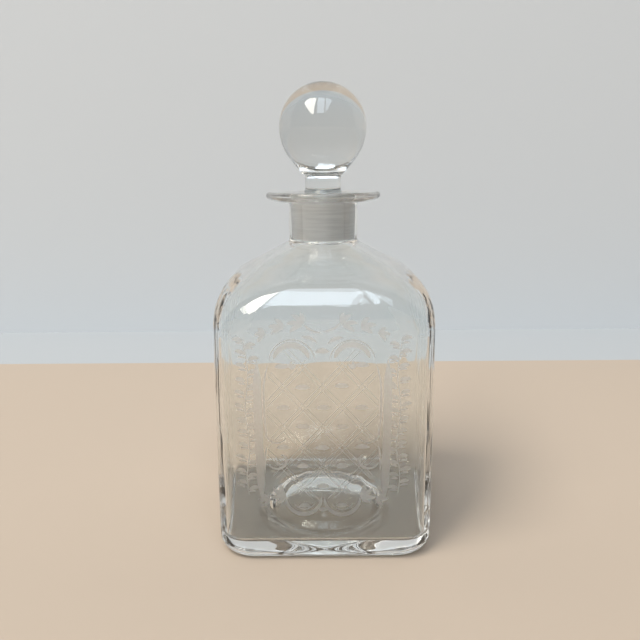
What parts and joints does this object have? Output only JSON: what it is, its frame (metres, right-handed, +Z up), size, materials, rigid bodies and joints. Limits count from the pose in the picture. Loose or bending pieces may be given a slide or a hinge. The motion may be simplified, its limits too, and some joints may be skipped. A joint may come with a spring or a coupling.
{
  "type": "wine decanter",
  "caption": "Square clear glass decanter with a round shoulder, short neck, flat lip, a cut lattice on the front and a solid ball stopper that lifts out of its ground neck.",
  "frame": {"origin": "centre of the square footprint, on the surface the decanter stands on", "axes": "+Z up along the neck, front face towards -Y, right side towards +X"},
  "size_m": [0.1, 0.1, 0.2165],
  "materials": {
    "clear_glass": "polished, with ground and wheel-cut areas",
    "stopper_glass": "polished ball, ground plug"
  },
  "bodies": {
    "bottle": {"bottle": "clear_glass"},
    "stopper": {"stopper": "stopper_glass"}
  },
  "joints": [
    {"name": "stopper_lift", "type": "slide", "parent": "bottle", "child": "stopper", "axis": [0, 0, 1], "range_m": [0, 0.05]}
  ]
}
